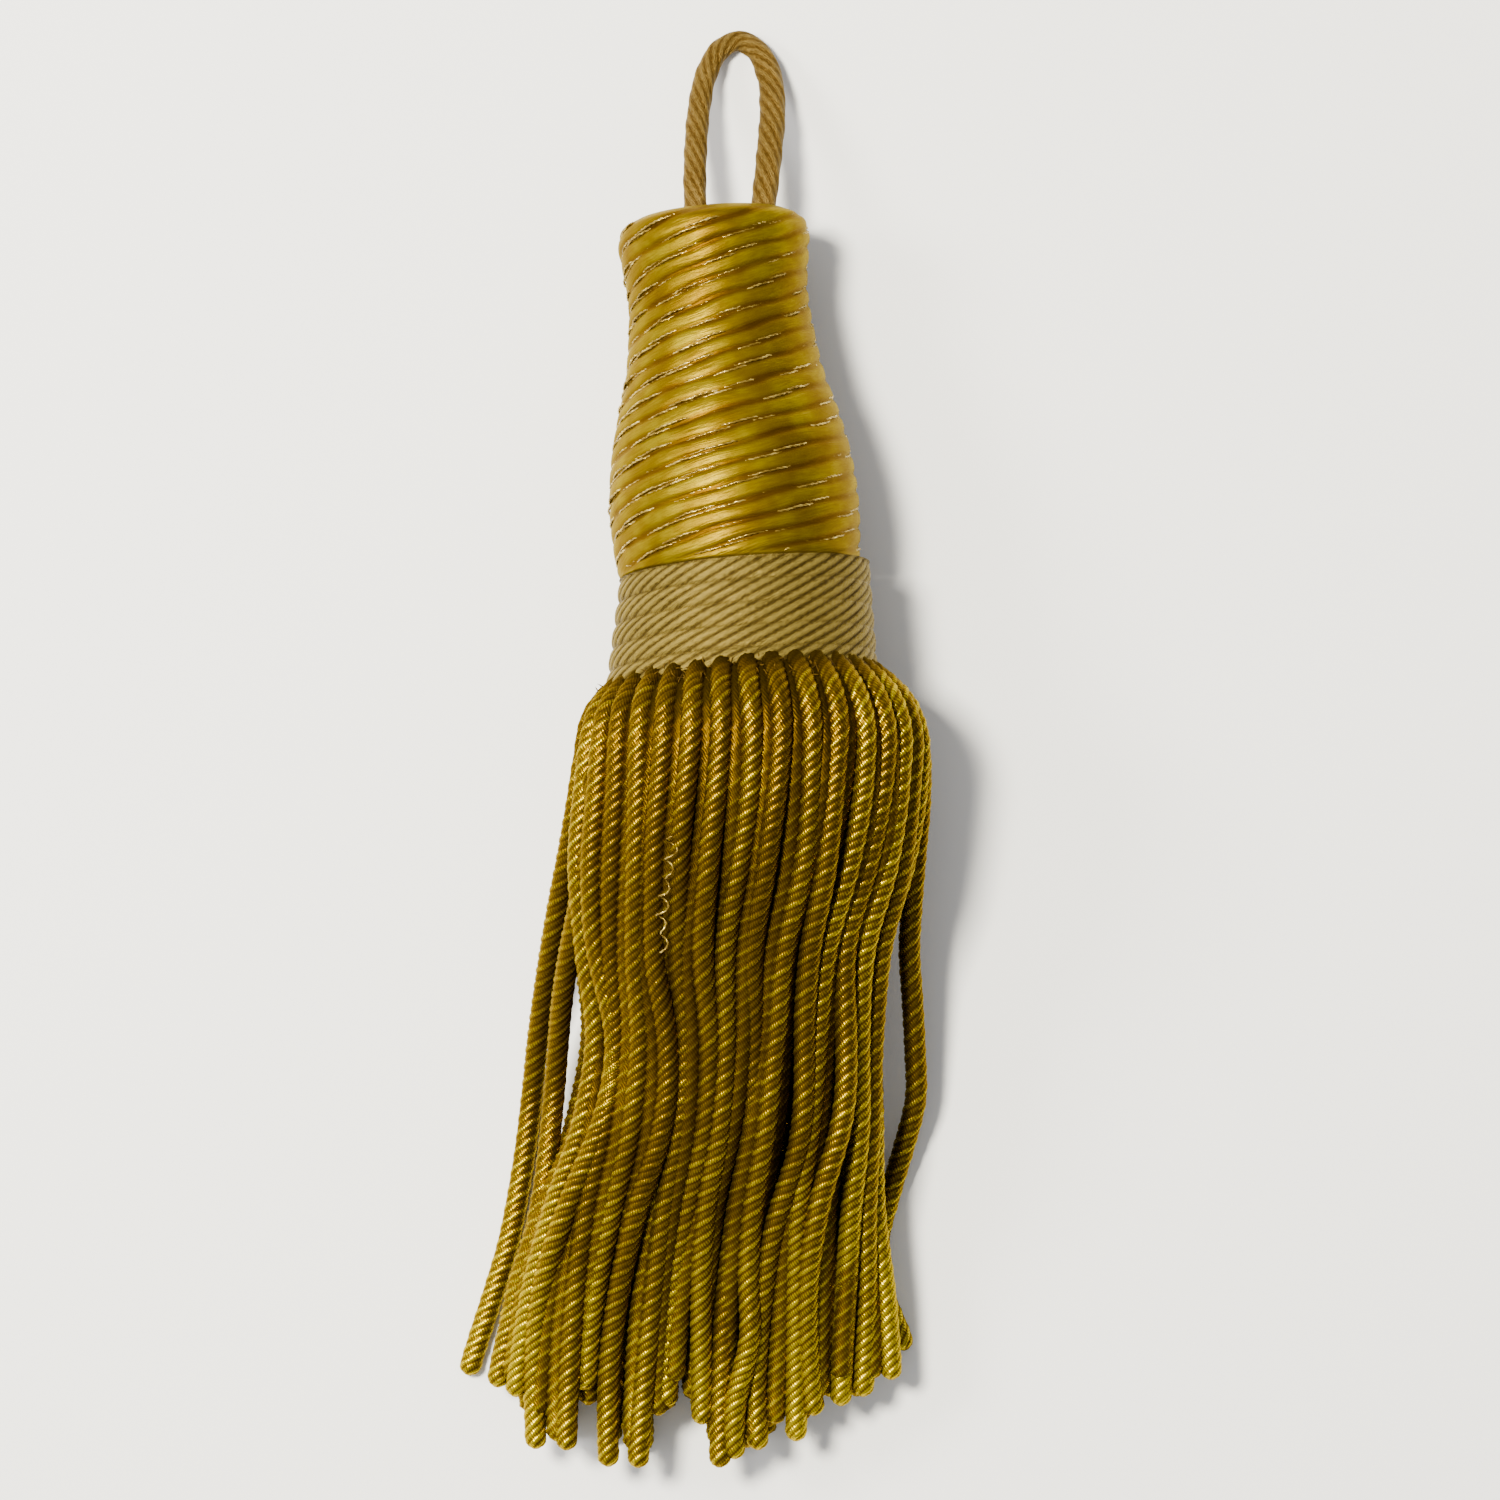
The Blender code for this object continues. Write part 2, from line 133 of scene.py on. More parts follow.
# Neck cord
NECK_TURNS = 5
NECK_CORD = 2.62
NECK_HEIGHT = NECK_TURNS * NECK_CORD
NECK_TOP = HEAD_LENGTH + 0.2
NECK_OUTER = (14.4, 15.75)  # radius at its top and at its end
NECK_PROUD = 0.05
NECK_SWAY = (0.6, -0.75)  # sideways shift of its top and its end
NECK_INNER = 12.2
NECK_LIP = 0.5
NECK_LIP_DROP = 0.01
NECK_DEPTH, NECK_DEPTH_LEFT = 0.34, 0.2  # between two turns, and how much deeper on the left
NECK_PLY = 1.06  # across one ply
NECK_PLY_ANGLE = 27.0
NECK_RELIEF = 0.3
NECK_RIDGE_POWER = 0.75  # below 1, the plies are broad and the grooves between them narrow
NECK_SHADE, NECK_SHADE_LEFT = 0.3, 0.5  # painted shade between two turns, and how much more of it on the left
NECK_ROWS = 100
NECK_COLUMNS = 360

# Hanging loop
LOOP_CORD = 2.75
LOOP_PLIES = 8
LOOP_LAY = 15.4
LOOP_RELIEF = 0.13
LOOP_SHARPNESS = 1.2
LOOP_EVERY_OTHER_LOWER = 0.6
LOOP_STEP = 0.5
LOOP_RING_STEP = 0.3
LOOP_SWELL = (  # share of the length, thickness against the cord's
    (0.0, 1.0),
    (0.3, 1.0),
    (0.42, 0.95),
    (0.5, 0.9),
    (0.6, 1.08),
    (0.7, 1.14),
    (1.0, 1.1),
)
LOOP_ROUTE = (
    (0.2, 62.0, 10.9),
    (0.1, 66.0, 9.7),
    (0.2, 70.0, 7.8),
    (0.6, 75.0, 5.0),
    (1.5, 79.2, 2.9),
    (3.1, 82.0, 1.7),
    (5.1, 83.0, 1.25),
    (7.1, 82.0, 1.6),
    (8.6, 79.2, 2.7),
    (9.1, 75.0, 4.9),
    (8.8, 70.0, 7.7),
    (8.4, 66.0, 9.6),
    (8.0, 62.6, 10.8),
)

# Skirt's cords
CORD = 2.65  # bullion cord
CORD_PLIES = 6
CORD_LAY = 6.4
LAY_SPREAD = 0.03
CORD_RELIEF = 0.16
CORD_LOWEST = CORD / 2 + FLOOR_GAP
RIB = 0.34  # of the wire wound round a ply
ROUTE_STEP = 1.0
EVERY_OTHER_LOWER = 0.35  # every other ply's drop, against the relief
# painted shade at the cords' roots under the neck cord: over these lengths along each layer's cords the
# groove value is raised, darkening the colour
PAINTED_ROOT_SHADE = {"outer": 6.5, "between": 18.0, "inner": 18.0}
ROOT_DARKNESS = 2.2
PAINTED_TIP_LIGHT = 0.7  # painted light: how much brighter the metal is made at the tips
TIP_RAMP = 2.2  # the painted light grows over the last 1 / 2.2 of a cord

# Skirt's layers
STRAND = 2.0  # the solids' square strands, whose middles the cords follow
OUTER_STRANDS = 34
LAST_ON_TOP = 17
RIGHT_LOOSE = 33
INNER_STRANDS = 26
INNER_LEFT_OUT = (12, 25)
INSET = {  # how far in from the outline a layer lies, in x and z
    "outer": (0.0, 0.0),
    "between": (0.85, 0.65),
    "inner": (3.0, 2.45),
}
HEADING_PROFILE = (  # down the axis, radius
    (43.0, 11.9),
    (53.0, 11.9),
    (53.2, 15.0),
    (54.8, 16.5),
    (57.0, 16.5),
)
HEADING_COLUMNS = 96
OUTER_ROOT = ((52.6, 13.2), (53.5, 14.6), (55.0, 16.4), (57.2, 18.1), (60.0, 19.0))
INNER_ROOT = ((56.2, 11.7), (58.4, 12.8), (61.0, 14.8))
BETWEEN_LOWER, BETWEEN_LEAST = 0.3, 12.6  # its roots' place below the outer ones, their least radius
SECTIONS = (  # y, middle in x, half width, top
    (-4.0, 6.45, 19.4, 36.0),
    (-13.0, 5.5, 19.4, 33.5),
    (-23.0, 4.2, 17.8, 28.8),
    (-33.0, 4.2, 16.6, 24.6),
    (-43.0, 3.4, 17.3, 21.2),
    (-53.0, 1.6, 19.2, 16.9),
    (-63.0, 0.4, 21.3, 13.2),
    (-73.0, -0.3, 22.5, 10.7),
    (-84.0, -0.6, 23.0, 9.8),
)
SECTION_SAMPLES = 720
RIGHT_DROP = 0.0042  # of the roots on the right, times the square of their distance from the middle
SQUARE_FROM, SQUARE_TO = -20.0, -70.0  # where the sections turn from oval to nearly square
SQUARE_MOST = 0.9
SLANT_FROM, SLANT_END = 6.0, -28.0  # where the sections turn from the neck's slant to upright
FAN_FROM = -48.0

# Skirt's tips
OUTER_TIPS = {  # strand number: x and y of its tip
    33: (24.9, -70.3),
    0: (22.5, -73.7),
    1: (19.7, -75.3),
    2: (17.1, -76.3),
    3: (14.1, -77.3),
    4: (11.2, -80.4),
    5: (8.3, -81.4),
    6: (5.6, -82.6),
    7: (3.1, -83.3),
    8: (0.2, -78.4),
    9: (-3.2, -76.3),
    10: (-6.1, -83.2),
    11: (-9.4, -83.6),
    12: (-12.2, -74.8),
    13: (-15.1, -81.9),
    14: (-17.9, -81.6),
    15: (-20.8, -75.8),
    16: (-23.3, -74.8),
    17: (-26.4, -73.4),
}
SHORTER = (0.3, 2.8)  # least and most by which a hidden cord is shorter than the tips near it
BETWEEN_SHORTER = 1.2
GOLDEN = 0.618034  # golden ratio, which spreads the lengths evenly over the strands

# Loose cords
LOOSE = {  # strand number: y, x and z of the points that it lies through
    33: (
        (-6.0, 26.0, 17.5),
        (-11.5, 25.5, 16.5),
        (-17.3, 25.0, 14.5),
        (-23.1, 24.7, 12.5),
        (-28.8, 25.1, 10.0),
        (-34.6, 25.5, 8.0),
        (-40.6, 25.7, 6.0),
        (-46.1, 24.5, 4.0),
        (-51.9, 22.9, 2.5),
        (-57.7, 21.6, 1.7),
        (-63.4, 22.2, 1.3),
        (-68.0, 24.0, 1.3),
        (-73.0, 26.0, 1.3),
    ),
    16: (
        (-6.0, -11.0, 26.0),
        (-11.5, -11.7, 24.0),
        (-17.3, -12.8, 21.0),
        (-23.1, -14.0, 17.5),
        (-28.8, -15.0, 13.5),
        (-34.6, -15.7, 9.5),
        (-40.4, -16.3, 7.5),
        (-46.1, -16.9, 8.0),
        (-51.9, -17.7, 8.6),
        (-57.7, -19.0, 8.4),
        (-63.4, -20.6, 7.6),
        (-70.0, -22.3, 6.6),
        (-78.0, -23.8, 6.0),
    ),
    17: (
        (-6.0, -13.3, 18.0),
        (-11.5, -14.3, 16.2),
        (-17.3, -15.5, 13.5),
        (-23.1, -16.6, 10.5),
        (-28.8, -17.6, 7.0),
        (-34.6, -18.5, 4.0),
        (-40.4, -19.2, 1.7),
        (-46.1, -19.9, 1.35),
        (-51.9, -20.8, 1.35),
        (-57.7, -21.9, 1.35),
        (-63.4, -23.5, 1.35),
        (-69.2, -25.3, 1.35),
        (-76.0, -27.3, 1.35),
    ),
}
ASTRAY = {  # strand number: y, x and z shifts of cords that stray over their neighbours
    3: ((-20.0, 0.0, 0.0), (-40.0, 0.9, 0.9), (-52.0, -0.8, 1.4), (-62.0, -1.8, 1.1), (-80.0, -0.6, 0.0)),
    5: ((-30.0, 0.0, 0.0), (-45.0, 0.8, 0.7), (-58.0, -0.8, 0.9), (-70.0, -1.0, 0.5), (-84.0, 0.0, 0.0)),
    6: ((-40.0, 0.0, 0.0), (-60.0, 0.3, 0.5), (-68.0, 0.9, 1.3), (-76.0, -0.6, 1.2), (-84.0, -0.8, 0.3)),
    11: ((-24.0, 0.0, 0.0), (-40.0, 0.8, 0.5), (-55.0, -0.7, 0.9), (-68.0, -0.9, 0.4), (-84.0, 0.0, 0.0)),
    14: ((-20.0, 0.0, 0.0), (-36.0, 0.9, 0.8), (-50.0, -0.3, 0.9), (-60.0, -0.9, 0.4), (-84.0, 0.0, 0.0)),
}

# Small waves of the cords: height, length of one radian, shift from one cord to the next
SIDE_WAVE = (0.5, 16.0, 1.3)
SHORT_SIDE_WAVE = (0.15, 7.1, 0.0)
UP_WAVE = (0.6, 17.0, 2.4)
UP_SPREAD = 0.6
WAVES_FROM, WAVES_GROW = 6, 20.0
LOOSE_WAVES = 0.3

# Fuzz at the roots of the fringe
FUZZ_COUNT = 600
FUZZ_THICKNESS = 0.15
FUZZ_LAY = 3.0
FUZZ_RELIEF = 0.02
FUZZ_STEP = 0.4
FUZZ_FROM, FUZZ_BAND = 52.8, 2.6
FUZZ_OUT = 1.1
FUZZ_REACH = 0.5
FUZZ_OUTWARD = (0.2, 0.7)  # least, and what chance adds
FUZZ_BOW = 0.3
FUZZ_BEND = 0.15
FUZZ_LOWEST = 0.5

# Loose curled thread on the fringe
CURL = ((-2.2, -9.5, 34.6), (-2.6, -14.0, 33.3), (-3.4, -18.0, 31.5), (-3.0, -23.0, 29.4))
CURL_THICKNESS = 0.3
CURL_LAY = 1.4
CURL_RELIEF = 0.1
CURL_RADIUS = 0.7
CURL_PITCH = 2.3
CURL_STEP, CURL_RING_STEP = 0.12, 0.2

# Finishes
BULLION_ROUGHNESS = 0.24
GROOVE_ROUGHNESS = 0.2  # added in the grooves between the plies
GOLD_TINT = (1.0, 0.8, 0.1)

# Floor and lights, in metres and watts
FLOOR_HALF = 2.0
FLOOR_GREY = 0.9
FLOOR_ROUGHNESS = 0.8
LIGHTS = (  # name, place, aim, side, power, colour
    ("key", (-0.28, 0.16, 0.86), (0.0, 0.0, 0.01), 0.16, 26.0, (1.0, 0.95, 0.8)),
    ("left", (-0.55, 0.16, 0.50), (0.0, 0.03, 0.01), 0.22, 4.5, (1.0, 0.98, 0.94)),
)
BRIGHT_WAY = (-0.72, 0.3, 0.62)  # the light round about is brighter towards the upper left
AROUND = 0.45
BRIGHTER = 0.58


# Coordinates

def placed(points):
    """Design millimetres to the frame's metres."""
    return (np.asarray(points, float) - ORIGIN) * MM


def in_axis(points):
    """Points round the axis, with the third coordinate counted down from the head's top."""
    points = np.asarray(points, float) * np.array((1, 1, -1))
    return points @ AXIS.T + HEAD_TOP


# Camera

def make_camera():
    camera = bpy.data.cameras.new("view")
    camera.sensor_fit = "HORIZONTAL"
    camera.sensor_width = SENSOR_WIDTH
    camera.lens = LENS
    camera.clip_start, camera.clip_end = NEAREST, FARTHEST
    made = bpy.data.objects.new("view", camera)
    bpy.context.scene.collection.objects.link(made)
    made.location = placed(np.array((*CAMERA_MIDDLE, CAMERA_HEIGHT)))
    bpy.context.scene.camera = made


# Curves

def curve_through(knots, values, at):
    """A smooth curve through the values at rising knots, read at the places in at."""
    knots = np.asarray(knots, float)
    values = np.asarray(values, float)
    at = np.clip(np.asarray(at, float), knots[0], knots[-1])
    slopes = np.gradient(values, knots, axis=0)
    i = np.clip(np.searchsorted(knots, at, side="right") - 1, 0, len(knots) - 2)
    span = knots[i + 1] - knots[i]
    t = (at - knots[i]) / span
    if values.ndim > 1:
        t, span = t[..., None], span[..., None]
    start = (2 * t**3 - 3 * t**2 + 1) * values[i] + (t**3 - 2 * t**2 + t) * span * slopes[i]
    return start + (3 * t**2 - 2 * t**3) * values[i + 1] + (t**3 - t**2) * span * slopes[i + 1]


def ease(value):
    """0 below 0, 1 above 1, and smooth between."""
    value = np.clip(value, 0.0, 1.0)
    return value * value * (3 - 2 * value)


def lengths_along(points):
    steps = np.linalg.norm(np.diff(points, axis=0), axis=1)
    return np.concatenate(([0.0], np.cumsum(steps)))


def even_curve(points, step, fewest=4):
    """Points a step apart on the smooth curve through the given ones, and how far along each lies."""
    points = np.asarray(points, float)
    for _ in range(2):  # the second round evens out the steps
        knots = lengths_along(points)
        count = max(int(round(knots[-1] / step)), fewest)
        along = np.linspace(0.0, knots[-1], count + 1)
        points = curve_through(knots, points, along)
    return points, along


def route_frames(points):
    """Two directions across a route that turn as little as they can."""
    tangents = np.gradient(points, axis=0)
    tangents /= np.linalg.norm(tangents, axis=1)[:, None]
    sides = np.empty_like(tangents)
    guess = np.array(FIRST_SIDE)
    for i, tangent in enumerate(tangents):
        guess = guess - tangent * np.dot(guess, tangent)
        guess = guess / np.linalg.norm(guess)
        sides[i] = guess
    return sides, np.cross(tangents, sides)


# Meshes

class TubeMesh:
    """Gathers grids of points into one mesh, with a map of each grid and two values for its finish."""

    def __init__(self):
        self.points, self.quads, self.caps = [], [], []
        self.maps, self.grooves, self.tones = [], [], []
        self.count = 0

    def add_tube(self, grid, across, along, groove, tone):
        """grid has a row for each ring; across and along, its map, have one column more than it."""
        rings, around = grid.shape[:2]
        index = self.count + np.arange(rings * around).reshape(rings, around)
        beside = np.roll(index, -1, axis=1)
        quads = np.stack((index[:-1], beside[:-1], beside[1:], index[1:]), axis=-1).reshape(-1, 4)
        u = np.broadcast_to(across, (rings, around + 1))
        v = np.broadcast_to(along, (rings, around + 1))
        pairs = np.stack((u, v), axis=-1)
        corners = (pairs[:-1, :-1], pairs[:-1, 1:], pairs[1:, 1:], pairs[1:, :-1])
        self.points.append(grid.reshape(-1, 3))
        self.quads.append(quads)
        self.maps.append(np.stack(corners, axis=2).reshape(-1, 2))
        self.grooves.append(np.broadcast_to(groove, (rings, around)).reshape(-1))
        self.tones.append(np.broadcast_to(tone, (rings, around)).reshape(-1))
        self.caps.append(index[0][::-1])
        self.caps.append(index[-1])
        self.count += rings * around

    def finish(self, name, material):
        quads = np.concatenate(self.quads)
        loops = np.concatenate((quads.reshape(-1), *self.caps))
        sizes = np.concatenate((np.full(len(quads), 4), [len(cap) for cap in self.caps]))
        maps = np.concatenate((*self.maps, np.zeros((len(loops) - quads.size, 2))))
        mesh = bpy.data.meshes.new(name)
        mesh.vertices.add(self.count)
        mesh.vertices.foreach_set("co", placed(np.concatenate(self.points)).reshape(-1))
        mesh.loops.add(len(loops))
        mesh.loops.foreach_set("vertex_index", loops)
        mesh.polygons.add(len(sizes))
        mesh.polygons.foreach_set("loop_start", np.concatenate(([0], np.cumsum(sizes)[:-1])))
        mesh.polygons.foreach_set("loop_total", sizes)
        mesh.update(calc_edges=True)
        mesh.uv_layers.new(name="cord_map").data.foreach_set("uv", maps.reshape(-1))
        for word, values in (("groove", self.grooves), ("tone", self.tones)):
            layer = mesh.attributes.new(word, "FLOAT", "POINT")
            layer.data.foreach_set("value", np.concatenate(values).astype(np.float32))
        mesh.validate()
        mesh.shade_smooth()
        mesh.materials.append(material)
        made = bpy.data.objects.new(name, mesh)
        bpy.context.scene.collection.objects.link(made)
        return made


def rounded_end(left, radius):
    """How far a cord is drawn in, by the length that is left to its end."""
    reach = END_REACH * radius
    return np.sqrt(np.clip(1 - (1 - np.clip(left / reach, END_LEAST, 1)) ** 2, 0, 1))


def add_twisted_cord(tubes, route, diameter, plies, lay, relief, points_a_ply, step, tone, hand=1,
                     phase=0.0, sharpness=1.4, every_other_lower=0.0, swell=((0.0, 1.0), (1.0, 1.0)),
                     round_end=True, keep_points=False, painted_root_shade=0.0, painted_tip_light=0.0):
    """A cord of raised plies, swept along a route.

    A ply goes round once in a lay, as a Z twist where hand is 1 and an S twist where it is -1. relief is
    the depth of the grooves, a higher sharpness narrows them, and swell is the thickness along the cord.
    """
    if keep_points:
        points = np.asarray(route, float)
        along = lengths_along(points)
    else:
        points, along = even_curve(route, step)
    sides, others = route_frames(points)
    radius = diameter / 2
    around = plies * points_a_ply
    share = np.arange(around) / around
    groove = (1 - np.abs(np.cos(math.pi * plies * share))) ** sharpness
    proud = 0.5 + 0.5 * np.cos(math.pi * plies * share)
    profile = radius - relief * groove - every_other_lower * relief * (1 - proud) * (1 - groove)
    angles = 2 * math.pi * share[None, :] + hand * 2 * math.pi * along[:, None] / lay + phase
    left = along[-1] - along
    thickness = curve_through(*zip(*swell), along / along[-1])
    if round_end:
        thickness = thickness * rounded_end(left, radius)
    spread = profile[None, :] * thickness[:, None]
    grid = points[:, None, :] + spread[..., None] * (
        np.cos(angles)[..., None] * sides[:, None, :] + np.sin(angles)[..., None] * others[:, None, :]
    )
    girth = 2 * math.pi * radius
    climb = math.hypot(girth, lay)  # length of a ply in one turn
    share_next = np.append(share, 1.0)
    ply_way = share_next[None, :] * (girth * girth / climb) * hand + along[:, None] * climb / lay
    # painted shade at the roots, put into the groove value
    if painted_root_shade:
        groove = np.maximum(groove[None, :], ROOT_DARKNESS * (1 - ease(along / painted_root_shade))[:, None])
    # painted light: the tone rises towards the tips
    tones = tone + painted_tip_light * ease(1 - TIP_RAMP * left / along[-1])[:, None]
    tubes.add_tube(grid, share_next[None, :] * plies, ply_way, groove, tones)


def add_turned(tubes, rows, columns, shape, sway=(0.0, 0.0)):
    """Turns rows of (down, radius); shape gives radius shift, groove and maps at (down, angle)."""
    down = np.array([row[0] for row in rows])[:, None]
    radius = np.array([row[1] for row in rows])[:, None]
    angle = 2 * math.pi * np.arange(columns + 1)[None, :] / columns
    shift, groove, across, along = shape(down, angle)
    wide = radius + shift
    shift_x = sway[0] + (sway[1] - sway[0]) * (down - down[0]) / (down[-1] - down[0])
    grid = np.stack((wide * np.cos(angle) + shift_x, wide * np.sin(angle), down + 0 * angle), axis=-1)
    grid = in_axis(grid[:, :-1])
    grid[..., 2] = np.maximum(grid[..., 2], FLOOR_GAP)
    tubes.add_tube(grid, across, along, (groove + 0 * angle)[:, :-1], 0.5)


# Routes of the skirt's cords

def closed_curve(middle_x, half_width, low, top, squareness):
    """Points round one section of the skirt, an oval or nearly square, and the share of each."""
    angles = np.linspace(0, 2 * math.pi, SECTION_SAMPLES + 1)
    power = 2 / (2 + squareness)
    x = middle_x + half_width * np.sign(np.cos(angles)) * np.abs(np.cos(angles)) ** power
    z = (low + top) / 2 + (top - low) / 2 * np.sign(np.sin(angles)) * np.abs(np.sin(angles)) ** power
    steps = np.hypot(np.diff(x), np.diff(z))
    return np.stack((x, z), axis=1), np.concatenate(([0.0], np.cumsum(steps))) / steps.sum()


def on_curve(curve, share):
    points, shares = curve
    return np.array([np.interp(share % 1, shares, points[:, k]) for k in (0, 1)])


def slanted(x, z, y, middle_x, middle_z):
    """A section's point, which lies across the tassel's axis near the neck and upright lower down."""
    share = 1 - ease((SLANT_FROM - y) / (SLANT_FROM - SLANT_END))
    drop = RIGHT_DROP * max(x - middle_x, 0) ** 2
    lean = math.tan(LEAN) * (x - middle_x) - drop + math.tan(DIP) * (z - middle_z)
    return np.array((x, y + share * lean, z))


def root_stations(root, ring_share, lowest):
    stations = []
    for down, radius in root:
        middle = HEAD_TOP + DOWN_WAY * down
        low = max(middle[2] - radius, lowest)
        x, z = on_curve(closed_curve(middle[0], radius, low, middle[2] + radius, 0.0), ring_share)
        stations.append(slanted(x, z, middle[1], middle[0], middle[2]))
    return stations


def section_stations(ring_share, inset_x, inset_z):
    stations = []
    for y, middle_x, half_width, top in SECTIONS:
        squareness = SQUARE_MOST * ease((SQUARE_FROM - y) / (SQUARE_FROM - SQUARE_TO))
        low = STRAND / 2 + inset_z
        curve = closed_curve(middle_x, half_width - inset_x, low, top - inset_z, squareness)
        x, z = on_curve(curve, ring_share)
        stations.append(slanted(x, z, y, middle_x, (low + top) / 2))
    return stations


def root_of(layer):
    if layer == "outer":
        return OUTER_ROOT
    if layer == "inner":
        return INNER_ROOT
    inset_x = INSET["between"][0]
    return [(down + BETWEEN_LOWER, max(radius - inset_x, BETWEEN_LEAST)) for down, radius in OUTER_ROOT]


def place_in_ring(number, layer):
    """A strand's place round its ring; the layer between lies half a strand further on."""
    count = INNER_STRANDS if layer == "inner" else OUTER_STRANDS
    return (number + (1.0 if layer == "between" else 0.5)) / count


def hidden_tip(number, layer, x):
    """Where a cord that doesn't show ends: a little above the outer tips near it."""
    tips = sorted(OUTER_TIPS.values())
    near = float(np.interp(x, [tip[0] for tip in tips], [tip[1] for tip in tips]))
    spread = (number * GOLDEN) % 1
    short = SHORTER[0] + spread * (SHORTER[1] - SHORTER[0])
    return near + (short + (BETWEEN_SHORTER if layer == "between" else 0.0))


def strand_route(number, layer):
    """The points that a cord lies through, and the y of its tip."""
    share = place_in_ring(number, layer)
    inset_x, inset_z = INSET[layer]
    roots = root_stations(root_of(layer), share, STRAND / 2 + inset_z)
    sections = section_stations(share, inset_x, inset_z)
    shift_to_tip = 0.0
    if layer == "outer" and number in LOOSE:
        sections = [np.array((x, y, z)) for y, x, z in LOOSE[number]]
        return np.array(roots + sections), OUTER_TIPS[number][1]
    if layer == "outer" and number in OUTER_TIPS:
        tip_x, tip_y = OUTER_TIPS[number]
        shift_to_tip = tip_x - sections[-1][0]
    else:
        tip_y = hidden_tip(number, layer, sections[-1][0])
    for point in sections:
        point[0] += shift_to_tip * ease((FAN_FROM - point[1]) / (FAN_FROM - tip_y))
    return np.array(roots + sections), tip_y


def small_wave(along, number, phase, height, length, shift):
    return height * np.sin(along / length + number * shift + phase)


def cord_route(number, layer):
    """The middle line of one bullion cord, with the small waves that the solids leave out."""
    stations, tip_y = strand_route(number, layer)
    stations[:, 2] = np.maximum(stations[:, 2], CORD_LOWEST)
    points, _ = even_curve(stations, ROUTE_STEP)
    route = points[points[:, 1] > tip_y]
    along = np.arange(len(route))
    free = ease((along - WAVES_FROM) / WAVES_GROW)
    side_phase, short_phase, up_phase, _ = CHANCE.random(4) * 2 * math.pi
    side = small_wave(along, number, side_phase, *SIDE_WAVE)
    side = side + small_wave(along, number, short_phase, *SHORT_SIDE_WAVE)
    up = small_wave(along, number, UP_SPREAD * up_phase, *UP_WAVE)
    if layer == "outer" and number in LOOSE:
        side, up = LOOSE_WAVES * side, 0.0
    if layer == "outer" and number in ASTRAY:
        lies_y, shift_x, shift_z = (np.array(column) for column in zip(*ASTRAY[number]))
        way = np.clip(-route[:, 1], -lies_y[0], -lies_y[-1])
        route[:, 0] += curve_through(-lies_y, shift_x, way)
        route[:, 2] += curve_through(-lies_y, shift_z, way)
    route[:, 0] += free * side
    route[:, 2] = np.maximum(route[:, 2] + free * up, CORD_LOWEST)
    return route


# Nodes that the materials share

def new_material(name):
    made = bpy.data.materials.new(name)
    made.use_nodes = True
    nodes, links = made.node_tree.nodes, made.node_tree.links
    return made, nodes, links, nodes["Principled BSDF"]


def maths(nodes, links, operation, *values):
    node = nodes.new("ShaderNodeMath")
    node.operation = operation
    for socket, value in zip(node.inputs, values):
        if isinstance(value, (int, float)):
            socket.default_value = value
        else:
            links.new(value, socket)
    return node.outputs[0]


def ramp(nodes, links, value, stops):
    node = nodes.new("ShaderNodeValToRGB")
    elements = node.color_ramp.elements
    while len(elements) < len(stops):
        elements.new(0.5)
    for element, (place, colour) in zip(elements, stops):
        element.position = place
        element.color = (*colour, 1.0)
    links.new(value, node.inputs[0])
    return node.outputs["Color"]


def attribute(nodes, name):
    node = nodes.new("ShaderNodeAttribute")
    node.attribute_name = name
    return node.outputs["Fac"]


def map_parts(nodes, links):
    """How far across the plies and along a ply a point lies."""
    node = nodes.new("ShaderNodeUVMap")
    node.uv_map = "cord_map"
    apart = nodes.new("ShaderNodeSeparateXYZ")
    links.new(node.outputs[0], apart.inputs[0])
    return apart.outputs[0], apart.outputs[1]


def noise(nodes, links, scale, detail=2.0, vector=None):
    """Noise of a scale per metre, or per unit of the vector that is given."""
    node = nodes.new("ShaderNodeTexNoise")
    node.inputs["Scale"].default_value = scale
    node.inputs["Detail"].default_value = detail
    if vector is None:
        place = nodes.new("ShaderNodeNewGeometry")
        vector = place.outputs["Position"]
    links.new(vector, node.inputs["Vector"])
    return node.outputs["Fac"]


def stretched_noise(nodes, links, across, along, across_scale, along_scale, scale):
    """Long fibres: noise that changes faster across the plies than along them."""
    place = nodes.new("ShaderNodeCombineXYZ")
    links.new(maths(nodes, links, "MULTIPLY", across, across_scale), place.inputs[0])
    links.new(maths(nodes, links, "MULTIPLY", along, along_scale), place.inputs[1])
    return noise(nodes, links, scale, 3.0, place.outputs[0])


def wave(nodes, links, value, length):
    """A sine between 0 and 1 that repeats each length of the value."""
    turned = maths(nodes, links, "MULTIPLY", value, 2 * math.pi / length)
    return maths(nodes, links, "MULTIPLY_ADD", maths(nodes, links, "SINE", turned), 0.5, 0.5)


def weighed(nodes, links, middle, *parts):
    """middle plus each value's distance from a half times its weight."""
    total = middle - sum(weight for _, weight in parts) / 2
    for value, weight in parts:
        total = maths(nodes, links, "MULTIPLY_ADD", value, weight, total)
    return total


def bump(nodes, links, height, depth, shader, strength=1.0):
    """A fine relief of a depth in millimetres."""
    node = nodes.new("ShaderNodeBump")
    node.inputs["Strength"].default_value = strength
    node.inputs["Distance"].default_value = depth * MM
    links.new(height, node.inputs["Height"])
    links.new(node.outputs[0], shader.inputs["Normal"])


def set_finish(shader, metallic, roughness, tint, gloss):
    shader.inputs["Metallic"].default_value = metallic
    shader.inputs["Roughness"].default_value = roughness
    shader.inputs["Specular Tint"].default_value = (*tint, 1.0)
    shader.inputs["Specular IOR Level"].default_value = gloss


# Materials

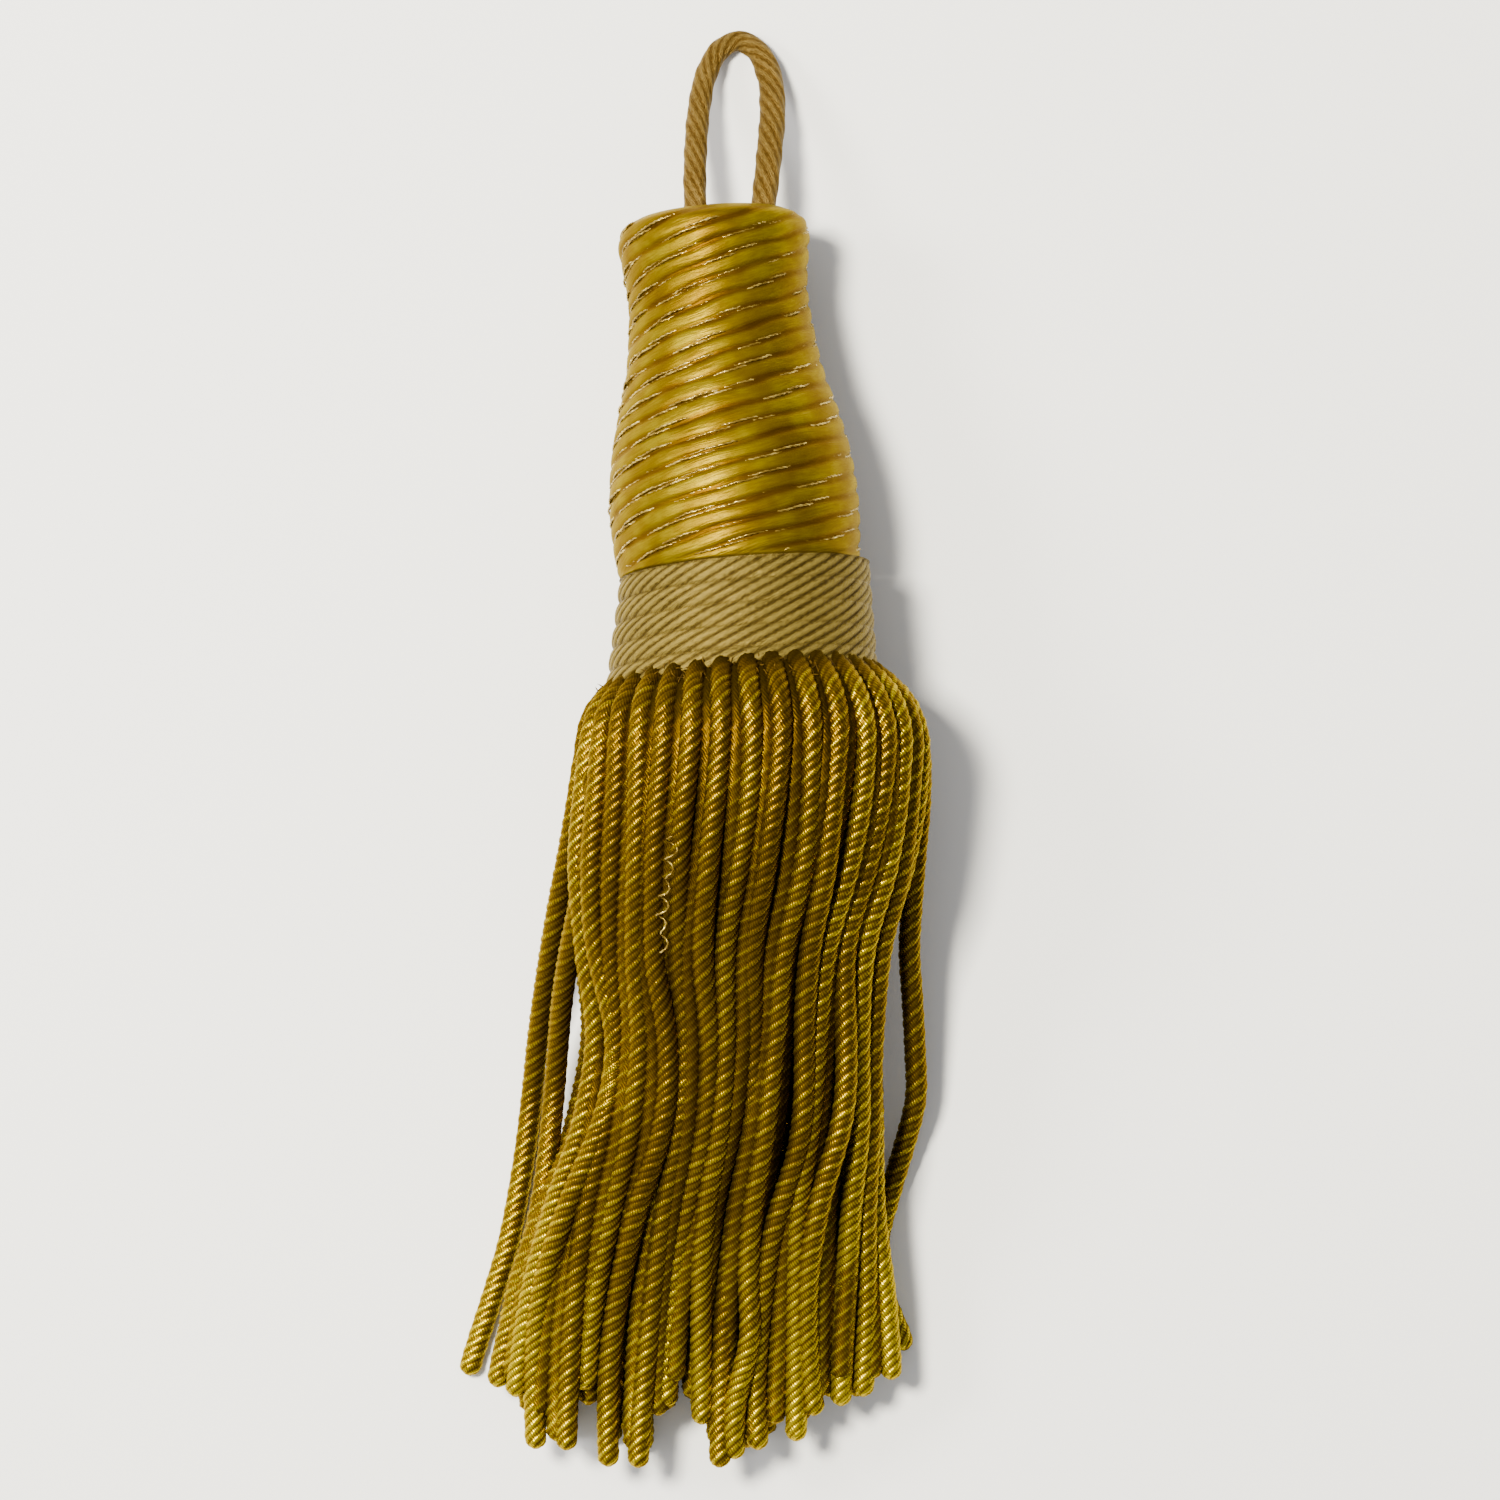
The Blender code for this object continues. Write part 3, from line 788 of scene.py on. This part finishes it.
def bullion_material():
    """Plies of fine wound wire, with painted shade in the grooves, which are also duller, and brighter on
    every other ply.
    """
    made, nodes, links, shader = new_material("bullion cord")
    across, along = map_parts(nodes, links)
    groove = attribute(nodes, "groove")
    patches = noise(nodes, links, 160.0)
    grains = noise(nodes, links, 2200.0)
    # the ribs are the wire's turns; their wave goes into the bump and, as painted light and shade across
    # each turn, into the colour
    ribs = wave(nodes, links, along, RIB)
    every_other = wave(nodes, links, maths(nodes, links, "ADD", across, 0.5), 2.0)
    # painted shade: the groove value darkens the colour between the plies and at the roots; the tone brings
    # the layers' painted shade and the painted light at the tips
    mixed = weighed(nodes, links, 0.58, (groove, -0.5), (attribute(nodes, "tone"), 0.35),
                    (patches, 0.3), (grains, 0.3), (every_other, 0.18), (ribs, 0.2))
    colour = ramp(nodes, links, mixed, (
        (0.1, (0.03, 0.0165, 0.0)),
        (0.4, (0.062, 0.031, 0.0)),
        (0.75, (0.12, 0.07, 0.0)),
        (1.0, (0.36, 0.27, 0.0002)),
    ))
    links.new(colour, shader.inputs["Base Color"])
    set_finish(shader, metallic=0.8, roughness=BULLION_ROUGHNESS, tint=GOLD_TINT, gloss=0.05)
    dulled = maths(nodes, links, "MULTIPLY", groove, GROOVE_ROUGHNESS)
    links.new(maths(nodes, links, "ADD", dulled, BULLION_ROUGHNESS), shader.inputs["Roughness"])
    height = weighed(nodes, links, 0.5, (ribs, 0.8), (grains, 0.5))
    bump(nodes, links, height, 0.028, shader)
    return made


def satin_material():
    """Silk threads laid side by side along each band."""
    made, nodes, links, shader = new_material("satin winding")
    across, along = map_parts(nodes, links)
    patches = noise(nodes, links, 220.0)
    threads = stretched_noise(nodes, links, across, along, 3.4, 0.18, 3.0)
    # painted shade: the groove value darkens the colour between the bands
    mixed = weighed(nodes, links, 0.62, (attribute(nodes, "groove"), -0.4), (patches, 0.9), (threads, 0.35))
    colour = ramp(nodes, links, mixed, (
        (0.1, (0.044, 0.018, 0.0003)),
        (0.45, (0.074, 0.035, 0.0002)),
        (0.8, (0.122, 0.077, 0.0002)),
        (1.0, (0.18, 0.13, 0.0004)),
    ))
    links.new(colour, shader.inputs["Base Color"])
    set_finish(shader, metallic=0.65, roughness=0.4, tint=GOLD_TINT, gloss=0.04)
    bump(nodes, links, threads, 0.12, shader, 0.6)
    return made


def yarn_material(name, groove_weight, dark, middle, light):
    """Twisted yarn: fine fibres along each ply, with painted shade in the grooves."""
    made, nodes, links, shader = new_material(name)
    across, along = map_parts(nodes, links)
    fibres = stretched_noise(nodes, links, across, along, 5.0, 1.0, 1.6)
    patches = noise(nodes, links, 400.0)
    groove = attribute(nodes, "groove")
    mixed = weighed(nodes, links, 0.6, (groove, groove_weight), (fibres, 1.0), (patches, 0.3))
    colour = ramp(nodes, links, mixed, ((0.15, dark), (0.55, middle), (0.95, light)))
    links.new(colour, shader.inputs["Base Color"])
    set_finish(shader, metallic=0.4, roughness=0.4, tint=(1.0, 0.85, 0.5), gloss=0.05)
    bump(nodes, links, fibres, 0.3, shader, 0.9)
    return made


def loop_cord_material():
    return yarn_material("loop cord", -0.45, (0.03, 0.013, 0.001), (0.072, 0.037, 0.005),
                         (0.17, 0.108, 0.026))


def neck_cord_material():
    return yarn_material("neck cord", -0.8, (0.022, 0.013, 0.003), (0.062, 0.04, 0.007),
                         (0.185, 0.134, 0.028))


def metal_thread_material():
    made, nodes, links, shader = new_material("metal thread")
    grains = noise(nodes, links, 900.0)
    # painted shade: the groove value darkens the colour between the thread's plies
    mixed = weighed(nodes, links, 0.5, (attribute(nodes, "groove"), -0.4), (grains, 1.3))
    colour = ramp(nodes, links, mixed, (
        (0.3, (0.1, 0.055, 0.004)),
        (0.6, (0.2, 0.13, 0.02)),
        (0.85, (0.5, 0.37, 0.09)),
        (1.0, (0.85, 0.66, 0.22)),
    ))
    links.new(colour, shader.inputs["Base Color"])
    set_finish(shader, metallic=0.6, roughness=0.22, tint=(1.0, 0.9, 0.6), gloss=0.3)
    bump(nodes, links, grains, 0.1, shader)
    return made


def heading_material():
    made, nodes, links, shader = new_material("heading")
    fibres = noise(nodes, links, 1800.0, 3.0)
    # dark brown, partly the heading's own colour and partly painted shade at the roots of the fringe
    colour = ramp(nodes, links, fibres, ((0.3, (0.02, 0.009, 0.001)), (0.7, (0.12, 0.065, 0.006))))
    links.new(colour, shader.inputs["Base Color"])
    set_finish(shader, metallic=0.0, roughness=0.8, tint=(1.0, 0.9, 0.65), gloss=0.1)
    bump(nodes, links, fibres, 0.3, shader)
    return made


# Every piece's place in the frame

def settle(piece, node):
    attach(piece, "root")
    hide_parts(node)


# Hanging loop

def make_loop():
    tubes = TubeMesh()
    route, along = even_curve(LOOP_ROUTE, LOOP_STEP)
    add_twisted_cord(tubes, route, LOOP_CORD, LOOP_PLIES, LOOP_LAY, LOOP_RELIEF, points_a_ply=5,
                     step=LOOP_RING_STEP, tone=0.5, hand=-1, sharpness=LOOP_SHARPNESS,
                     every_other_lower=LOOP_EVERY_OTHER_LOWER, swell=LOOP_SWELL, round_end=False)
    piece = tubes.finish("loop_cord", loop_cord_material())
    settle(piece, "hanging_loop")


# Head

def band_shape(down, angle):
    """The satin bands' relief: rounded crowns with a narrow groove between two bands."""
    phase = down / BAND_PITCH + BAND_STARTS * angle / (2 * math.pi)
    for share, waves, turn in BAND_WANDER:
        phase = phase + share * np.sin(waves * angle + turn * down)
    from_groove = np.abs((phase + 0.5) % 1 - 0.5)
    groove = 1 - ease((from_groove - GROOVE_FLOOR) / GROOVE_SIDE)
    crown = 1 - (np.clip(0.5 - from_groove, 0, 0.5) / CROWN_REACH) ** CROWN_POWER
    fade = ease(down / BAND_FADE) * ease((HEAD_LENGTH - down) / BAND_FADE)
    shift = fade * (BAND_HEIGHT + BAND_CROWN * np.clip(crown, 0, 1) - BAND_RELIEF * groove)
    # the groove share is also painted shade in the satin's colour
    return shift, groove * fade, phase, angle * HEAD_MAP_RADIUS


def make_head():
    tubes = TubeMesh()
    down = np.linspace(0.0, HEAD_LENGTH, HEAD_ROWS)
    radii = curve_through(*zip(*HEAD_PROFILE), down)
    rows = [*HEAD_FLAT, *zip(down, radii), (HEAD_LENGTH, SPIGOT_RADIUS), (SPIGOT_END, SPIGOT_RADIUS)]
    add_turned(tubes, rows, HEAD_COLUMNS, band_shape)
    piece = tubes.finish("head_winding", satin_material())
    settle(piece, "head")


def groove_thread_route(start, k, shift_down, rise):
    """The path of one metal thread in the groove, which wanders and dips out of sight in places."""
    turns = HEAD_LENGTH / BAND_PITCH / BAND_STARTS
    count = int(turns * 2 * math.pi * THREAD_RADIUS / THREAD_STEP)
    down = np.linspace(THREAD_FROM, THREAD_TO, count)
    angle = 2 * math.pi * (start - down / BAND_PITCH) / BAND_STARTS
    wander = np.cumsum(CHANCE.normal(0, WANDER_STEP, (2, count)), axis=1)
    window = np.ones(WANDER_WINDOW) / WANDER_WINDOW
    wander -= np.array([np.convolve(line, window, "same") for line in wander])
    dips = sum(np.sin(angle * waves + start * shift + k * apart) for waves, shift, apart in DIPS)
    radius = curve_through(*zip(*HEAD_PROFILE), down) + rise + WANDER_OUT * wander[0] + DIP_DEPTH * dips
    radius -= SUNK * ease(0.5 + 0.6 * np.cos(angle))
    down = down + shift_down + WANDER_DOWN * wander[1]
    route = in_axis(np.stack((radius * np.cos(angle), radius * np.sin(angle), down), axis=-1))
    route[:, 2] = np.maximum(route[:, 2], THREAD_LOWEST)
    return route


def make_groove_threads():
    tubes = TubeMesh()
    for start in range(BAND_STARTS):
        for k, (shift_down, rise) in enumerate(GROOVE_THREADS):
            route = groove_thread_route(start, k, shift_down, rise)
            add_twisted_cord(tubes, route, THREAD, plies=2, lay=THREAD_LAY, relief=THREAD_RELIEF,
                             points_a_ply=3, step=THREAD_STEP, tone=CHANCE.random(),
                             phase=6.28 * CHANCE.random(), keep_points=True)
    piece = tubes.finish("groove_threads", metal_thread_material())
    settle(piece, "head")


# Neck cord

def neck_shape(down, angle):
    """Turns of cord side by side, with one slanting ply pattern that runs on from turn to turn."""
    below = np.clip((down - NECK_TOP) / NECK_HEIGHT, 0, 1)
    turn = (below * NECK_TURNS) % 1
    bulge = np.sqrt(np.clip(1 - (2 * turn - 1) ** 2, 0, 1))
    left = 0.5 - 0.5 * np.cos(angle)
    depth = NECK_DEPTH + NECK_DEPTH_LEFT * left
    round_way = angle * NECK_OUTER[0]
    slope = math.radians(NECK_PLY_ANGLE)
    ply = (down * math.cos(slope) + round_way * math.sin(slope)) / NECK_PLY
    ridge = np.abs(np.sin(math.pi * ply)) ** NECK_RIDGE_POWER
    inside = (below > 0) & (below < 1)
    shift = (depth * (bulge - 1) + NECK_RELIEF * (ridge - 1) * (0.4 + 0.6 * bulge)) * inside
    # painted shade: darker between the plies, and between two turns, more so on the left
    groove = np.maximum(1 - ridge, (1 - bulge) ** 1.5 * (NECK_SHADE + NECK_SHADE_LEFT * left))
    return shift, groove, ply, round_way * math.cos(slope) - down * math.sin(slope)


def make_neck_cord():
    tubes = TubeMesh()
    down = np.linspace(0, NECK_HEIGHT, NECK_ROWS)
    outer = NECK_OUTER[0] + (NECK_OUTER[1] - NECK_OUTER[0]) * down / NECK_HEIGHT
    lip = NECK_INNER + NECK_LIP
    end = NECK_TOP + NECK_HEIGHT
    rows = [(NECK_TOP - NECK_LIP_DROP, NECK_INNER), (NECK_TOP, lip)]
    rows += list(zip(down + NECK_TOP, outer + NECK_PROUD))
    rows += [(end, lip), (end + NECK_LIP_DROP, NECK_INNER)]
    add_turned(tubes, rows, NECK_COLUMNS, neck_shape, sway=NECK_SWAY)
    piece = tubes.finish("neck_winding", neck_cord_material())
    settle(piece, "neck_cord")


# Skirt

def add_fuzz(tubes):
    """Short loose ends of thread round the roots of the fringe."""
    for _ in range(FUZZ_COUNT):
        angle = 2 * math.pi * CHANCE.random()
        down = FUZZ_FROM + FUZZ_BAND * CHANCE.random()
        radius = float(np.interp(down, *zip(*OUTER_ROOT))) + FUZZ_OUT
        start = np.array((radius * math.cos(angle), radius * math.sin(angle), down))
        way = CHANCE.normal(0, 1.0, 3)
        stands_out = FUZZ_OUTWARD[0] + FUZZ_OUTWARD[1] * CHANCE.random()
        outward = np.array((math.cos(angle), math.sin(angle), 0.0)) * stands_out
        middle = start + FUZZ_REACH / 2 * way + FUZZ_BOW * outward
        end = start + FUZZ_REACH * way + CHANCE.normal(0, FUZZ_BEND, 3)
        route = in_axis(np.array([start, middle, end]))
        route[:, 1] -= RIGHT_DROP * np.maximum(route[:, 0] - HEAD_TOP[0], 0) ** 2
        if route[:, 2].min() < FUZZ_LOWEST:
            continue
        add_twisted_cord(tubes, route, FUZZ_THICKNESS, plies=2, lay=FUZZ_LAY, relief=FUZZ_RELIEF,
                         points_a_ply=2, step=FUZZ_STEP, tone=CHANCE.random())


def plain_shape(down, angle):
    return 0 * angle, 0.5, angle, down


def make_heading():
    tubes = TubeMesh()
    add_turned(tubes, HEADING_PROFILE, HEADING_COLUMNS, plain_shape)
    add_fuzz(tubes)
    piece = tubes.finish("heading", heading_material())
    settle(piece, "skirt")


def make_fringe():
    """The bullion cords, in six pieces: what shows has the finest mesh, and the cords between and inside
    have darker tones, painted shade beneath the outer cords.
    """
    on_top = [*range(LAST_ON_TOP + 1), RIGHT_LOOSE]
    below = [number for number in range(OUTER_STRANDS) if number not in on_top]
    inner = [number for number in range(INNER_STRANDS) if number not in INNER_LEFT_OUT]
    groups = (  # layer, strands, points a ply, step along the cord, dullest and brightest tone
        # the darker tones of the layers between and inside are painted shade under the outer cords
        ("outer", on_top[:10], 4, 0.36, 0.0, 0.75),
        ("outer", on_top[10:], 4, 0.36, 0.0, 0.75),
        ("outer", below, 2, 0.4, 0.2, 0.8),
        ("between", range(LAST_ON_TOP), 2, 0.38, 0.1, 0.4),
        ("between", range(LAST_ON_TOP, OUTER_STRANDS), 2, 0.5, 0.2, 0.5),
        ("inner", inner, 2, 0.55, 0.0, 0.3),
    )
    material = bullion_material()
    for k, (layer, numbers, points_a_ply, step, dullest, brightest) in enumerate(groups):
        tubes = TubeMesh()
        for number in numbers:
            route = cord_route(number, layer)
            lay = CORD_LAY * (1 + LAY_SPREAD * CHANCE.normal())
            tone = dullest + (brightest - dullest) * CHANCE.random()
            add_twisted_cord(tubes, route, CORD, CORD_PLIES, lay, CORD_RELIEF, points_a_ply, step, tone,
                             phase=2 * math.pi * CHANCE.random(), every_other_lower=EVERY_OTHER_LOWER,
                             painted_root_shade=PAINTED_ROOT_SHADE[layer], painted_tip_light=PAINTED_TIP_LIGHT)
        piece = tubes.finish(f"fringe_{k + 1}", material)
        settle(piece, "skirt")


def make_curl():
    """A loose metal thread curled on top of the fringe."""
    tubes = TubeMesh()
    points, along = even_curve(CURL, CURL_STEP)
    sides, others = route_frames(points)
    turn = 2 * math.pi * along / CURL_PITCH
    wide = CURL_RADIUS * (0.7 + 0.3 * np.sin(along * 0.9))
    route = points + wide[:, None] * (np.cos(turn)[:, None] * sides + np.sin(turn)[:, None] * others)
    add_twisted_cord(tubes, route, CURL_THICKNESS, plies=2, lay=CURL_LAY, relief=CURL_RELIEF,
                     points_a_ply=3, step=CURL_RING_STEP, tone=0.5)
    piece = tubes.finish("loose_thread", metal_thread_material())
    settle(piece, "skirt")


# Floor and lights

def make_floor():
    mesh = bpy.data.meshes.new("floor")
    half = FLOOR_HALF
    corners = [(-half, -half, 0), (half, -half, 0), (half, half, 0), (-half, half, 0)]
    mesh.from_pydata(corners, [], [(0, 1, 2, 3)])
    made, _, _, shader = new_material("floor")
    shader.inputs["Base Color"].default_value = (FLOOR_GREY, FLOOR_GREY, FLOOR_GREY, 1.0)
    shader.inputs["Roughness"].default_value = FLOOR_ROUGHNESS
    mesh.materials.append(made)
    floor = bpy.data.objects.new("floor", mesh)
    bpy.context.scene.collection.objects.link(floor)


def make_light(name, place, aim, side, power, colour):
    light = bpy.data.lights.new(name, "AREA")
    light.shape = "RECTANGLE"
    light.size = light.size_y = side
    light.energy = power
    light.color = colour
    made = bpy.data.objects.new(name, light)
    bpy.context.scene.collection.objects.link(made)
    made.location = place
    made.rotation_euler = (Vector(aim) - Vector(place)).to_track_quat("-Z", "Y").to_euler()


def make_world():
    """Light from all round, brighter towards the upper left."""
    world = bpy.data.worlds.new("studio")
    world.use_nodes = True
    nodes, links = world.node_tree.nodes, world.node_tree.links
    way = nodes.new("ShaderNodeTexCoord")
    towards = nodes.new("ShaderNodeVectorMath")
    towards.operation = "DOT_PRODUCT"
    links.new(way.outputs["Generated"], towards.inputs[0])
    towards.inputs[1].default_value = BRIGHT_WAY
    strength = maths(nodes, links, "MULTIPLY_ADD", towards.outputs["Value"], BRIGHTER, AROUND)
    background = nodes["Background"]
    background.inputs["Color"].default_value = (1.0, 1.0, 1.0, 1.0)
    links.new(strength, background.inputs["Strength"])
    bpy.context.scene.world = world


make_camera()
make_loop()
make_head()
make_groove_threads()
make_neck_cord()
make_heading()
make_fringe()
make_curl()
make_floor()
for described in LIGHTS:
    make_light(*described)
make_world()
